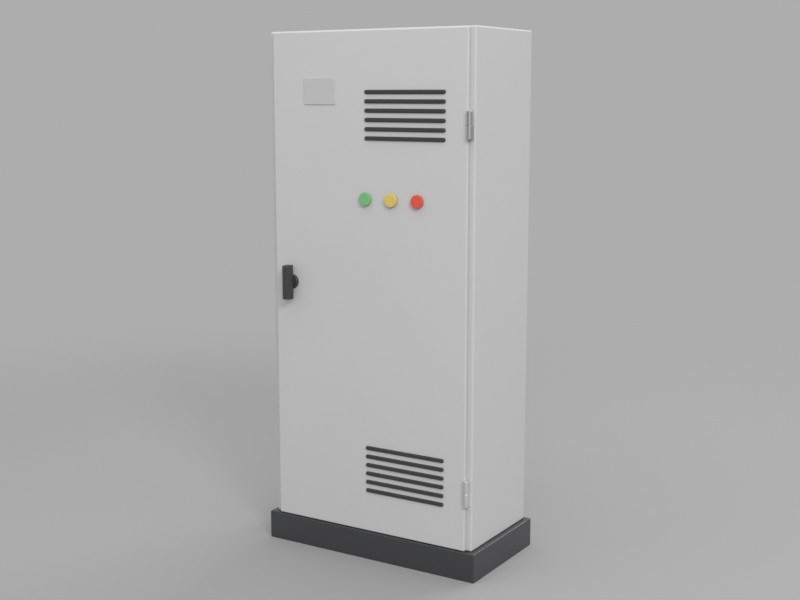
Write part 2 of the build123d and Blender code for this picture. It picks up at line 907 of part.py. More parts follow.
def make_contact_block(x):
    front = skin_y + collar_length
    outline = RectangleRounded(contact_width, contact_height, contact_edge)
    block = block_y(outline, x, button_z, front, front + contact_depth)
    well = round_y(button_stem_radius + hole_play, x, button_z, front - overrun, front + contact_well)
    return block - well


def rose_screw_heights():
    return [handle_z - rose_screw_offset, handle_z + rose_screw_offset]


def make_rose():
    front = door_front_y - rose_thickness
    rose = round_y(rose_radius, handle_x, handle_z, front, door_front_y)
    rose = chamfer(front_edges(rose), rose_edge)
    rose += round_y(rose_spigot_radius, handle_x, handle_z, door_front_y, skin_y)
    cuts = [round_y(neck_radius + neck_play, handle_x, handle_z, front - overrun, skin_y + overrun)]
    bore = rose_screw_radius + thread_play
    depth = door_front_y - rose_screw_grip
    cuts += [round_y(bore, handle_x, z, depth, door_front_y + overrun) for z in rose_screw_heights()]
    return rose - cuts


def make_rose_screws():
    tip = door_front_y - rose_screw_grip
    screws = []
    for z in rose_screw_heights():
        head = round_y(rose_screw_head_radius, handle_x, z, skin_y, skin_y + rose_screw_head_height)
        screws.append(head + round_y(rose_screw_radius, handle_x, z, tip, skin_y))
    return group(screws)


def make_grip():
    # Wing handle: an upright bar with bevelled ends on a round neck
    front = door_front_y - grip_proud
    rear = front + grip_depth
    bar = block_y(Rectangle(grip_width, grip_height), handle_x, handle_z, front, rear)
    ends = front_edges(bar).group_by(Axis.Z)
    bar = chamfer(ends[0] + ends[-1], grip_end_chamfer)
    long_edges = bar.edges().filter_by(Axis.Z)
    bar = fillet(long_edges, grip_edge)
    neck = round_y(neck_radius, handle_x, handle_z, rear, skin_y)
    side = spindle_side + 2 * spindle_play
    socket = block_y(Rectangle(side, side), handle_x, handle_z, rear - spindle_socket, skin_y + overrun)
    return bar + neck - socket


def make_spindle():
    # Square bar with a round head that holds the tongue
    front = door_front_y - grip_proud + grip_depth - spindle_socket
    rear = tongue_rear_y + spindle_head_height
    bar = block_y(Rectangle(spindle_side, spindle_side), handle_x, handle_z, front, tongue_rear_y)
    head = round_y(spindle_head_radius, handle_x, handle_z, tongue_rear_y, rear)
    return bar + head


def gear_outline():
    # Involute teeth: each flank runs from the root circle to the tip circle
    pressure = radians(pinion_pressure_angle)
    base_radius = pinion_radius * cos(pressure)
    root = pinion_radius - gear_module * pinion_dedendum_share
    tip = pinion_radius + gear_module * pinion_addendum_share
    half_tooth = pi / (2 * pinion_teeth) * (1 - pinion_backlash_share)
    flank = []
    for radius in along(base_radius, tip, pinion_flank_steps):
        angle = acos(min(base_radius / radius, 1))
        flank.append((radius, half_tooth + tan(pressure) - pressure - (tan(angle) - angle)))
    flank = [(root, flank[0][1])] + flank
    points = []
    for i in range(pinion_teeth):
        middle = 2 * pi * i / pinion_teeth
        rising = [(radius, middle - half) for radius, half in flank]
        falling = [(radius, middle + half) for radius, half in reversed(flank)]
        points += [(radius * cos(a), radius * sin(a)) for radius, a in rising + falling]
    return make_face(Polyline(*points, close=True))


def make_pinion():
    pinion = block_y(gear_outline(), handle_x, handle_z, pinion_front_y, pinion_rear_y)
    pinion += round_y(pinion_hub_radius, handle_x, handle_z, skin_y + pinion_end_play, pinion_front_y)
    side = spindle_side + 2 * spindle_play
    bore = block_y(Rectangle(side, side), handle_x, handle_z, skin_y - overrun, pinion_rear_y + overrun)
    return pinion - bore


def rack_outline(side):
    # Rack teeth beside the pinion, with a tooth gap at the pinion's own height
    slope = tan(radians(pinion_pressure_angle))
    addendum = gear_module * pinion_addendum_share
    dedendum = gear_module * pinion_dedendum_share
    half_tooth = rack_pitch * (1 - pinion_backlash_share) / 4
    tip = half_tooth - addendum * slope
    root = half_tooth + dedendum * slope
    faces = []
    for i in range(rack_teeth):
        z = side * rack_pitch * (i - 1 / 2)
        points = [
            (side * rod_inner, z - root),
            (side * (pinion_radius - addendum), z - tip),
            (side * (pinion_radius - addendum), z + tip),
            (side * rod_inner, z + root),
        ]
        faces.append(make_face(Polyline(*points, close=True)))
    return faces


def rod_middle(key):
    return handle_x + rod_sides[key] * (rod_inner + rod_width / 2)


def make_rod(key):
    # Flat lock rod with a rack at the pinion and a ramp at its tip
    side = rod_sides[key]
    tail = handle_z + side * rack_pitch * (rack_teeth - 1)
    tip = opening_top - rod_tip_gap if key == "upper" else opening_bottom + rod_tip_gap
    x = rod_middle(key)
    bar = span(
        (x - rod_width / 2, rod_front_y, min(tail, tip)),
        (x + rod_width / 2, rod_rear_y, max(tail, tip)),
    )
    end_edges = front_edges(bar).group_by(Axis.Z)
    bar = chamfer(end_edges[-1] if key == "upper" else end_edges[0], rod_tip_ramp)
    teeth = [block_y(face, handle_x, handle_z, rod_front_y, rod_rear_y) for face in rack_outline(side)]
    return bar + teeth


def make_lock_case():
    # Cup over the pinion, open towards the door, with an ear above and below
    half = case_height / 2
    ear = half + case_ear
    case = span(
        (handle_x - case_half, skin_y, handle_z - half),
        (handle_x + case_half, case_rear_y, handle_z + half),
    )
    case += block_y(Rectangle(2 * case_ear, 2 * ear), handle_x, handle_z, skin_y, skin_y + case_sheet)
    inner_x = case_half - case_sheet
    inner_z = half - case_sheet
    hollow = span(
        (handle_x - inner_x, skin_y - overrun, handle_z - inner_z),
        (handle_x + inner_x, case_rear_y - case_sheet, handle_z + inner_z),
    )
    reach = pinion_radius - gear_module
    ear_rear = skin_y + case_sheet
    stud_hole = stud_radius + hole_play
    back = case_rear_y - case_sheet
    cuts = [hollow, round_y(spindle_head_radius, handle_x, handle_z, back - overrun, case_rear_y + overrun)]
    for side in (-1, 1):
        inner = handle_x + side * reach
        outer = handle_x + side * (rod_outer + rod_play)
        cuts.append(
            span(
                (min(inner, outer), rod_front_y - rod_play, handle_z - half - overrun),
                (max(inner, outer), rod_rear_y + rod_play, handle_z + half + overrun),
            )
        )
        z = handle_z + side * (half + case_ear / 2)
        cuts.append(round_y(stud_hole, handle_x, z, skin_y - overrun, ear_rear + overrun))
    return case - cuts


def make_tongue():
    # Arm that hangs at rest, with a hook that reaches forwards behind the front frame's lip
    half = tongue_width / 2
    far = handle_z - tongue_reach
    arm = span((handle_x - half, tongue_front_y, far), (handle_x + half, tongue_rear_y, handle_z))
    arm += round_y(half, handle_x, handle_z, tongue_front_y, tongue_rear_y)
    hook = span((handle_x - half, rod_front_y, far), (handle_x + half, tongue_rear_y, far + tongue_hook))
    lead = front_edges(hook).group_by(Axis.X)[0]
    arm += chamfer(lead, tongue_ramp)
    side = spindle_side + 2 * spindle_play
    square = Rectangle(side, side)
    return arm - block_y(square, handle_x, handle_z, tongue_front_y - overrun, tongue_rear_y + overrun)


def guide_z(key):
    return opening_top - guide_end_gap if key == "upper" else opening_bottom + guide_end_gap


def guide_half():
    return rod_width / 2 + rod_play + guide_wall


def guide_ear_x(key):
    return rod_middle(key) - rod_sides[key] * (guide_half() + guide_ear / 2)


def make_rod_guide(key):
    # Block on the door's inner face with a slot for the rod
    x = rod_middle(key)
    z = guide_z(key)
    rear = rod_rear_y + rod_play + guide_wall
    ear_rear = skin_y + guide_ear_thickness
    half = guide_half()
    block = span((x - half, skin_y, z - guide_length / 2), (x + half, rear, z + guide_length / 2))
    ear = Rectangle(guide_ear, guide_length)
    block += block_y(ear, guide_ear_x(key), z, skin_y, ear_rear)
    slot = span(
        (x - rod_width / 2 - rod_play, rod_front_y - rod_play, z - guide_length),
        (x + rod_width / 2 + rod_play, rod_rear_y + rod_play, z + guide_length),
    )
    hole = round_y(stud_radius + hole_play, guide_ear_x(key), z, skin_y - overrun, ear_rear + overrun)
    return block - slot - hole


def make_nodes():
    shell, front_frame = split_body()
    nodes = {
        "plinth": make_plinth(),
        "plinth_bolts": make_plinth_bolts(),
        "cabinet_shell": shell,
        "front_frame": front_frame,
        "rear_panel": make_rear_panel(),
        "rear_seal": make_rear_seal(),
        "rear_panel_screws": make_rear_screws(),
        "gland_plate": make_gland_plate(),
        "gland_plate_screws": make_gland_screws(),
        "mounting_plate": make_mounting_plate(),
        "mounting_brackets": make_brackets(),
        "mounting_bolts": make_mount_bolts(),
        "control_relays": make_devices(
            relay_profile_shares, relay_count, relay_width, relay_width + relay_gap, relay_depth,
            relay_height, rail_height_shares[1], relay_edge,
        ),
        "terminal_row": make_devices(
            terminal_profile_shares, terminal_count, terminal_width, terminal_width, terminal_depth,
            terminal_height, rail_height_shares[0], 0,
        ),
        "door_panel": make_door_panel(),
        "door_gasket": make_gasket(),
        "door_stiffener_left": make_stiffener(
            handle_x + case_half + stiffener_side_gap + stiffener_foot + stiffener_width / 2
        ),
        "door_stiffener_right": make_stiffener(
            vent_x + frame_width / 2 + stiffener_side_gap + stiffener_width / 2
        ),
        "door_nuts": make_door_nuts(),
        "nameplate": make_nameplate(),
        "button_nuts": make_button_nuts(),
        "handle_rose": make_rose(),
        "rose_screws": make_rose_screws(),
        "handle_grip": make_grip(),
        "handle_spindle": make_spindle(),
        "lock_pinion": make_pinion(),
        "lock_tongue": make_tongue(),
        "lock_case": make_lock_case(),
    }
    for key, rail_share, duct_share in zip(("lower", "upper"), rail_height_shares, duct_height_shares):
        nodes["din_rail_" + key] = make_din_rail(rail_share)
        nodes["wiring_duct_" + key] = make_duct(duct_share)
        nodes["duct_cover_" + key] = make_duct_cover(duct_share)
        nodes["hinge_frame_leaf_" + key] = make_hinge_frame_leaf(hinge_heights[key])
        nodes["hinge_door_leaf_" + key] = make_hinge_door_leaf(hinge_heights[key])
        nodes["hinge_pin_" + key] = make_hinge_pin(hinge_heights[key])
        nodes["louvre_grille_" + key] = make_grille(vent_heights[key])
        nodes["filter_mat_" + key] = make_filter_mat(vent_heights[key])
        nodes["filter_frame_" + key] = make_filter_frame(vent_heights[key])
        nodes["lock_rod_" + key] = make_rod(key)
        nodes["rod_guide_" + key] = make_rod_guide(key)
    for colour, x in zip(button_colours, button_places):
        nodes["button_" + colour] = make_button(x)
        nodes["button_collar_" + colour] = make_button_collar(x)
        nodes["contact_block_" + colour] = make_contact_block(x)
    return nodes


os.makedirs("parts", exist_ok=True)
for name, shape in make_nodes().items():
    export_step(shape, f"parts/{name}.step")
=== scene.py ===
import json
import math

import bpy
import numpy as np
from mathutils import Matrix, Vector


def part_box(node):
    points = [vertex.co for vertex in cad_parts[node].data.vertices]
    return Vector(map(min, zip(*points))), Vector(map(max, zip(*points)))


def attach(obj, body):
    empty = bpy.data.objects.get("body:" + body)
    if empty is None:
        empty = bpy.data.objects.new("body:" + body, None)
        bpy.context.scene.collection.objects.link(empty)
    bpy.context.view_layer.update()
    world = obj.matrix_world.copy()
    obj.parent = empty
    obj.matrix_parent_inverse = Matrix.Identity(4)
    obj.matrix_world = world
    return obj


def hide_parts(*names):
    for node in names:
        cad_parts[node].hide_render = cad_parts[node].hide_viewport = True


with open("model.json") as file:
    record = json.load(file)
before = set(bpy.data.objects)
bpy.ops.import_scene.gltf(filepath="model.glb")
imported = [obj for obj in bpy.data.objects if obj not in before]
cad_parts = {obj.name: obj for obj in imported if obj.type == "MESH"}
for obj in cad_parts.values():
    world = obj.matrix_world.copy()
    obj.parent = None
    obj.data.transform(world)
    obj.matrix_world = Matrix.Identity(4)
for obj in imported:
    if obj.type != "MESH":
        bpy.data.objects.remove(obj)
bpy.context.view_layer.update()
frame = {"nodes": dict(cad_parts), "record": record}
nodes = frame["nodes"]


def shade(red, green, blue):  # screen values, 0 to 255, as linear colour by the usual screen curve
    screen = np.array([red, green, blue]) / 255
    linear = np.where(screen > 0.04045, ((screen + 0.055) / 1.055) ** 2.4, screen / 12.92)
    return (*linear.tolist(), 1.0)


def tone(colour, factor):  # the same colour, lighter or darker
    return (*[min(channel * factor, 1) for channel in colour[:3]], 1.0)


class Wire:  # a socket of one material; sums of wires add Math nodes
    def __init__(self, tree, socket):
        self.tree = tree
        self.socket = socket

    def node(self, kind, settings, inputs, out=0):
        made = self.tree.nodes.new("ShaderNode" + kind)
        for name, value in settings.items():
            setattr(made, name, value)
        for name, value in inputs.items():
            self.feed(made.inputs[name], value)
        return Wire(self.tree, made.outputs[out])

    def feed(self, socket, value):
        if isinstance(value, Wire):
            self.tree.links.new(value.socket, socket)
        else:
            socket.default_value = value

    def sum(self, operation, first, second):
        return self.node("Math", {"operation": operation}, {0: first, 1: second})

    def __add__(self, other):
        return self.sum("ADD", self, other)

    def __radd__(self, other):
        return self.sum("ADD", other, self)

    def __sub__(self, other):
        return self.sum("SUBTRACT", self, other)

    def __rsub__(self, other):
        return self.sum("SUBTRACT", other, self)

    def __mul__(self, other):
        return self.sum("MULTIPLY", self, other)

    def __rmul__(self, other):
        return self.sum("MULTIPLY", other, self)

    def grain(self, size, detail, stretch=None):  # noise whose lumps are about size metres across
        where = self
        if stretch:
            where = self.node("Mapping", {}, {"Vector": self, "Scale": stretch})
        noise = {"Vector": where, "Scale": 1 / size, "Detail": detail}
        return self.node("TexNoise", {}, noise)

    def cells(self, size, output):  # cells about size metres across
        return self.node("TexVoronoi", {}, {"Vector": self, "Scale": 1 / size}, output)

    def rise(self, low, high):  # 0 below low, 1 above high, smooth between
        ends = {"Value": self, "From Min": low, "From Max": high}
        return self.node("MapRange", {"interpolation_type": "SMOOTHSTEP"}, ends)

    def blend(self, first, second):  # colour from first to second as the wire goes from 0 to 1
        return self.node("Mix", {"data_type": "RGBA"}, {0: self, 6: first, 7: second}, 2)

    def tones(self, colour, low, high):  # colour from low to high times its brightness
        return self.blend(tone(colour, low), tone(colour, high))

    def dent(self, depth, strength):
        return self.node("Bump", {}, {"Height": self, "Distance": depth, "Strength": strength}, "Normal")


def startFinish(name, fixed):  # fixed values go on the shader's own sockets
    material = bpy.data.materials.new(name)
    material.use_nodes = True
    tree = material.node_tree
    shader = tree.nodes["Principled BSDF"]
    for socket, value in fixed.items():
        shader.inputs[socket].default_value = value
    start = Wire(tree, None)
    place = start.node("TexCoord", {}, {}, "Object")
    return material, shader, place


def endFinish(place, shader, colour, rough, normal):  # what changes over the surface
    place.feed(shader.inputs["Base Color"], colour)
    place.feed(shader.inputs["Roughness"], rough)
    place.feed(shader.inputs["Normal"], normal)


# Finishes: a noise is given as its size in metres and its detail, sometimes with a stretch

coatLooks = {  # powder coats: peel is the size of the orange-peel lumps and depth their height, in metres
    "body_paint": {
        "colour": shade(189, 189, 189), "rough": 0.75, "specular": 0.2,
        "peel": 0.0016, "depth": 0.00004, "cloud": 0.03,
    },
    "plinth_paint": {
        "colour": shade(45, 46, 51), "rough": 0.32, "specular": 1.0,
        "peel": 0.0012, "depth": 0.00005, "cloud": 0.10,
    },
    "handle_metal": {
        "colour": shade(56, 57, 60), "rough": 0.44, "specular": 0.45,
        "peel": 0.0008, "depth": 0.00003, "cloud": 0.08,
    },
}
coatGrain = {
    "cloud": (0.35, 4.0), "cloudPart": 0.75, "speckPart": 0.25, "speckPerPeel": 0.6,
    "speckDetail": 1.0, "peelDetail": 2.0, "roughSpan": 0.06, "bump": 0.35,
}


def makeCoat(name, look, grain):
    material, shader, place = startFinish(name, {"Specular IOR Level": look["specular"]})
    cloud = place.grain(*grain["cloud"])
    speck = place.grain(look["peel"] * grain["speckPerPeel"], grain["speckDetail"])
    peel = place.grain(look["peel"], grain["peelDetail"])
    change = cloud * grain["cloudPart"] + speck * grain["speckPart"]
    colour = change.tones(look["colour"], 1 - look["cloud"], 1 + look["cloud"])
    span = grain["roughSpan"]
    rough = look["rough"] - span + cloud * span + speck * span
    endFinish(place, shader, colour, rough, peel.dent(look["depth"], grain["bump"]))
    return material


mouldLooks = {  # moulded and extruded plastics: grain is the size of the spark-eroded texture
    "vent_plastic": {"colour": shade(55, 55, 58), "rough": 0.5, "grain": 0.0007},
    "dark_plastic": {"colour": shade(48, 48, 51), "rough": 0.46, "grain": 0.0006},
    "duct_plastic": {"colour": shade(172, 175, 178), "rough": 0.48, "grain": 0.0009},
    "terminal_plastic": {"colour": shade(190, 184, 168), "rough": 0.5, "grain": 0.0006},
}
mouldGrain = {
    "specular": 0.4, "flow": (0.06, 3.0, (1.0, 1.0, 3.0)), "grainDetail": 2.0,
    "tones": (0.92, 1.08), "roughSpan": 0.05, "bump": (0.00003, 0.4),
}


def makeMoulding(name, look, grain):
    material, shader, place = startFinish(name, {"Specular IOR Level": grain["specular"]})
    flow = place.grain(*grain["flow"])  # faint flow marks from the mould
    fine = place.grain(look["grain"], grain["grainDetail"])
    span = grain["roughSpan"]
    rough = look["rough"] - span + flow * span + fine * span
    colour = flow.tones(look["colour"], *grain["tones"])
    endFinish(place, shader, colour, rough, fine.dent(*grain["bump"]))
    return material


capLooks = {  # button caps
    "button_green": {"colour": shade(110, 177, 117)},
    "button_yellow": {"colour": shade(206, 185, 91)},
    "button_red": {"colour": shade(211, 79, 56)},
}
capGrain = {
    "fixed": {"Specular IOR Level": 0.5, "Coat Roughness": 0.2, "Coat Weight": 0.15},
    "cloud": (0.012, 3.0), "fine": (0.0005, 2.0), "tones": (0.94, 1.05),
    "rough": 0.34, "cloudSpan": 0.06, "fineSpan": 0.04, "bump": (0.00002, 0.3),
}


def makeCap(name, look, grain):
    material, shader, place = startFinish(name, grain["fixed"])
    cloud = place.grain(*grain["cloud"])
    fine = place.grain(*grain["fine"])
    rough = grain["rough"] + cloud * grain["cloudSpan"] + fine * grain["fineSpan"]
    colour = cloud.tones(look["colour"], *grain["tones"])
    endFinish(place, shader, colour, rough, fine.dent(*grain["bump"]))
    return material


metalLooks = {  # brushed metals: lay stretches the brush lines; foot is a painted reflection of the pale floor, blended in near the floor (the plate's foot is its own colour, so nothing is painted there)
    "hinge_steel": {
        # the pale foot colour is painted reflection: it stands in for the floor's light seen in the lower
        # hinge
        "colour": shade(196, 197, 199), "foot": shade(244, 245, 246), "metal": 1.0, "rough": 0.30,
        "lay": (1.0, 1.0, 0.03), "line": 0.0006,
    },
    "plate_metal": {  # anodised, so partly matt
        "colour": shade(198, 198, 199), "foot": shade(198, 198, 199), "metal": 0.3, "rough": 0.42,
        "lay": (0.02, 1.0, 1.0), "line": 0.0008,
    },
}
metalGrain = {
    "lineDetail": 3.0, "cloud": (0.03, 2.0), "floorReflectionHeights": (0.5, 1.3), "tones": (0.9, 1.08),
    "roughDrop": 0.06, "lineSpan": 0.14, "cloudSpan": 0.04, "bump": (0.00003, 0.4),
}


def makeBrushed(name, look, grain):
    material, shader, place = startFinish(name, {"Metallic": look["metal"]})
    lines = place.grain(look["line"], grain["lineDetail"], look["lay"])
    cloud = place.grain(*grain["cloud"])
    # painted reflection: lower down, the colour blends to the pale foot colour, as if the metal reflected
    # the floor
    height = place.node("SeparateXYZ", {}, {"Vector": place}, "Z").rise(*grain["floorReflectionHeights"])
    floorReflectionColour = lines.tones(look["foot"], *grain["tones"])
    highColour = lines.tones(look["colour"], *grain["tones"])
    rough = look["rough"] - grain["roughDrop"] + lines * grain["lineSpan"] + cloud * grain["cloudSpan"]
    endFinish(place, shader, height.blend(floorReflectionColour, highColour), rough, lines.dent(*grain["bump"]))
    return material


zincLook = {
    "colour": shade(198, 200, 203), "metal": 1.0, "rough": 0.40, "spangle": 0.011, "warp": (0.02, 2.0),
    "bloom": (0.09, 4.0), "flakePart": 0.6, "bloomPart": 0.4, "tones": (0.80, 1.05), "roughDrop": 0.1,
    "flakeSpan": 0.14, "bloomSpan": 0.08, "skin": (0.0008, 2.0), "bump": (0.00003, 0.3),
}


def makeZinc(name, look):
    material, shader, place = startFinish(name, {"Metallic": look["metal"]})
    warp = place.grain(*look["warp"])
    warped = place.node("VectorMath", {"operation": "ADD"}, {0: place, 1: warp})
    flake = warped.cells(look["spangle"], "Color")  # frosted crystals of the galvanising
    level = place.node("SeparateColor", {}, {"Color": flake}, "Red")
    bloom = place.grain(*look["bloom"])
    change = level * look["flakePart"] + bloom * look["bloomPart"]
    rough = look["rough"] - look["roughDrop"] + level * look["flakeSpan"] + bloom * look["bloomSpan"]
    colour = change.tones(look["colour"], *look["tones"])
    endFinish(place, shader, colour, rough, place.grain(*look["skin"]).dent(*look["bump"]))
    return material


foamLook = {
    "colour": shade(58, 58, 60), "specular": 0.25, "pore": 0.0011, "poreEdges": (0.05, 0.45),
    "cloud": (0.02, 3.0), "porePart": 0.7, "cloudPart": 0.3, "tones": (0.6, 1.15),
    "rough": 0.95, "poreSpan": 0.12, "bump": (0.0003, 0.6),
}


def makeFoam(name, look):
    material, shader, place = startFinish(name, {"Specular IOR Level": look["specular"]})
    pore = place.cells(look["pore"], "Distance").rise(*look["poreEdges"])
    cloud = place.grain(*look["cloud"])
    change = pore * look["porePart"] + cloud * look["cloudPart"]
    colour = change.tones(look["colour"], *look["tones"])
    endFinish(place, shader, colour, look["rough"] - pore * look["poreSpan"], pore.dent(*look["bump"]))
    return material


fleeceLook = {
    "fixed": {"Specular IOR Level": 0.15, "Sheen Weight": 0.25, "Sheen Roughness": 0.6},
    "colour": shade(228, 227, 222), "across": (0.0011, 3.0, (1.0, 1.0, 0.12)),
    "along": (0.0011, 3.0, (0.12, 1.0, 1.0)), "lump": (0.009, 4.0), "fibrePart": 0.4, "lumpPart": 0.2,
    "hairEdges": (0.32, 0.68), "tones": (0.72, 1.03), "rough": 0.98, "hairSpan": 0.1, "bump": (0.0007, 0.7),
}


def makeFleece(name, look):
    material, shader, place = startFinish(name, look["fixed"])
    across = place.grain(*look["across"])
    along = place.grain(*look["along"])
    lump = place.grain(*look["lump"])
    fibre = across * look["fibrePart"] + along * look["fibrePart"] + lump * look["lumpPart"]
    hair = fibre.rise(*look["hairEdges"])
    colour = hair.tones(look["colour"], *look["tones"])
    endFinish(place, shader, colour, look["rough"] - hair * look["hairSpan"], hair.dent(*look["bump"]))
    return material


finishes = {name: makeCoat(name, look, coatGrain) for name, look in coatLooks.items()}
finishes |= {name: makeMoulding(name, look, mouldGrain) for name, look in mouldLooks.items()}
finishes |= {name: makeCap(name, look, capGrain) for name, look in capLooks.items()}
finishes |= {name: makeBrushed(name, look, metalGrain) for name, look in metalLooks.items()}
finishes["zinc"] = makeZinc("zinc", zincLook)
finishes["seal_foam"] = makeFoam("seal_foam", foamLook)
finishes["filter_fleece"] = makeFleece("filter_fleece", fleeceLook)
for row in frame["record"]["subparts"]:
    for holder in nodes[row["node"]].material_slots:
        holder.material = finishes[row["material_slot"]]
print("finishes:", len(finishes))


# Pieces worked out here

def gridFaces(rows, columns, wrapRows=False, wrapColumns=False):  # quads of a grid, closed where it wraps
    row = np.arange(rows if wrapRows else rows - 1)[:, None]
    column = np.arange(columns if wrapColumns else columns - 1)[None, :]
    nextRow = (row + 1) % rows
    nextColumn = (column + 1) % columns
    corners = [row * columns + column, nextRow * columns + column]
    corners += [nextRow * columns + nextColumn, row * columns + nextColumn]
    return np.stack(np.broadcast_arrays(*corners), -1).reshape(-1, 4)


def addPiece(name, points, faces, slotName, body):
    mesh = bpy.data.meshes.new(name)
    allFaces = [face for part in faces for face in part.tolist()]
    mesh.from_pydata(points.reshape(-1, 3).tolist(), [], allFaces)
    mesh.polygons.foreach_set("use_smooth", np.ones(len(mesh.polygons), bool))
    mesh.materials.append(finishes[slotName])
    piece = bpy.data.objects.new(name, mesh)
    bpy.context.scene.collection.objects.link(piece)
    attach(piece, body)
    return piece


def ringPath(halfX, halfZ, radius, straightCount, cornerCount):
    # A rounded rectangle: the centre walks round the inner rectangle and the angle turns only at corners
    innerX, innerZ = halfX - radius, halfZ - radius
    centres = np.array([(innerX, innerZ), (-innerX, innerZ), (-innerX, -innerZ), (innerX, -innerZ)])
    knotCentres = np.repeat(centres, 2, axis=0)
    knotCentres = np.vstack([knotCentres, centres[:1]])
    knotAngles = np.pi / 2 * np.array([0, 1, 1, 2, 2, 3, 3, 4, 4])
    counts = [cornerCount, straightCount] * 4
    step = np.concatenate([k + np.arange(n) / n for k, n in enumerate(counts)])
    knots = np.arange(len(knotAngles))
    centreX = np.interp(step, knots, knotCentres[:, 0])
    centreZ = np.interp(step, knots, knotCentres[:, 1])
    return step, centreX, centreZ, np.interp(step, knots, knotAngles)


sealLooks = {  # foam beads: round is the power of the bead's section, wave how uneven its edge runs
    "door_gasket": {
        "piece": "doorSeal", "body": "door",
        "width": 0.012, "corner": 0.010, "round": 2.6, "wave": 0.0004,
    },
    "rear_seal": {
        "piece": "rearSeal", "body": "cabinet",
        "width": 0.009, "corner": 0.006, "round": 5.0, "wave": 0.0001,
    },
}
sealGrid = {"straight": 90, "corner": 10, "section": 15}
sealWaves = {"long": 41.0, "short": 97.0, "shift": 1.3}


def makeSeal(node, look, grid, waves):
    # Points lie at the path's centre plus radius and offset along the angle;
    # the section is half a superellipse on a flat foot, and two sines make its edge uneven
    low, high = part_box(node)
    middleX, middleZ = (low.x + high.x) / 2, (low.z + high.z) / 2
    inset = look["width"] / 2
    halfX, halfZ = (high.x - low.x) / 2 - inset, (high.z - low.z) / 2 - inset
    path = ringPath(halfX, halfZ, look["corner"], grid["straight"], grid["corner"])
    step, centreX, centreZ, angle = path
    turn = np.linspace(0, np.pi, grid["section"])
    power = 2 / look["round"]
    across = np.cos(turn)
    across = np.sign(across) * np.abs(across) ** power * (inset - look["wave"])
    depth = np.abs(np.sin(turn)) ** power * (high.y - low.y)
    longWave = np.sin(step * waves["long"])
    shortWave = np.sin(step * waves["short"] + waves["shift"])
    wave = look["wave"] * (longWave * 0.5 + shortWave * 0.5)
    reach = look["corner"] + across[None, :] + (wave[:, None] * np.sign(across)[None, :])
    x = middleX + centreX[:, None] + reach * np.cos(angle)[:, None]
    z = middleZ + centreZ[:, None] + reach * np.sin(angle)[:, None]
    y = np.broadcast_to(low.y + depth[None, :], x.shape)
    points = np.stack([x, y, z], -1)
    faces = gridFaces(len(step), len(turn), wrapRows=True, wrapColumns=True)[:, ::-1]
    seal = addPiece(look["piece"], points, [faces], "seal_foam", look["body"])
    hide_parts(node)


for node, look in sealLooks.items():
    makeSeal(node, look, sealGrid, sealWaves)
print("seals:", len(sealLooks))


matLook = {
    "rows": 61, "columns": 101, "columnsOfWindows": 4, "rowsOfWindows": 2,
    "swell": 0.0012, "swellPower": 0.6, "lump": 0.0003,
    "edgePowers": (40, 30), "edgeRound": 0.25,
    "lumpsAcross": (61.0, 3, 17.0), "lumpsUp": (43.0, 2, 29.0),  # count, sway and count of the sway
}


def makeMat(key, look):
    # Thickness is full over the face and falls to nothing at the border;
    # the rear swells in each window of the retaining frame, with lumps of two crossed sines
    low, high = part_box("filter_mat_" + key)
    u = np.sin(np.linspace(-np.pi / 2, np.pi / 2, look["columns"]))[None, :]
    v = np.sin(np.linspace(-np.pi / 2, np.pi / 2, look["rows"]))[:, None]
    powerU, powerV = look["edgePowers"]
    full = ((1 - np.abs(u) ** powerU) * (1 - np.abs(v) ** powerV)) ** look["edgeRound"]
    windowU = np.abs(np.sin(np.pi * look["columnsOfWindows"] * (u + 1) / 2))
    windowV = np.abs(np.sin(np.pi * look["rowsOfWindows"] * (v + 1) / 2))
    windows = windowU * windowV
    countU, swayU, swayCountU = look["lumpsAcross"]
    countV, swayV, swayCountV = look["lumpsUp"]
    lumpU = np.sin(u * countU + swayU * np.sin(v * swayCountU))
    lumpV = np.sin(v * countV + swayV * np.sin(u * swayCountV))
    lump = lumpU * lumpV
    middle, half = (low.y + high.y) / 2, (high.y - low.y) / 2
    x = np.broadcast_to(low.x + (high.x - low.x) * (u + 1) / 2, full.shape)
    z = np.broadcast_to(low.z + (high.z - low.z) * (v + 1) / 2, full.shape)
    front = middle - half * full
    bulge = look["swell"] * windows ** look["swellPower"] + look["lump"] * lump * windows
    rear = middle + half * full + bulge * full
    count = full.size
    index = np.arange(count).reshape(full.shape)
    border = np.ones(full.shape, bool)
    border[1:-1, 1:-1] = False
    behind = np.where(border, index, count + index)  # the border's points are shared by both faces
    rearFaces = gridFaces(*full.shape)
    faces = np.vstack([rearFaces[:, ::-1], behind.reshape(-1)[rearFaces]])
    used, compact = np.unique(faces, return_inverse=True)
    points = np.stack([np.stack([x, front, z], -1), np.stack([x, rear, z], -1)]).reshape(-1, 3)
    name = "filterFleece" + key.capitalize()
    mat = addPiece(name, points[used], [compact.reshape(-1, 4)], "filter_fleece", "door")
    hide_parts("filter_mat_" + key)


for key in ("upper", "lower"):
    makeMat(key, matLook)
print("filter mats: 2")


headShape = {  # shares of a head's radius and height
    "firstRing": 0.15, "lastRing": 0.9, "rim": [0.97, 1.0, 1.0], "crown": 0.35, "rimHeight": 0.45,
    "slotEnd": 0.75, "slotEdge": 0.06, "slotDepth": 0.6, "poleHeight": 0.4,
}


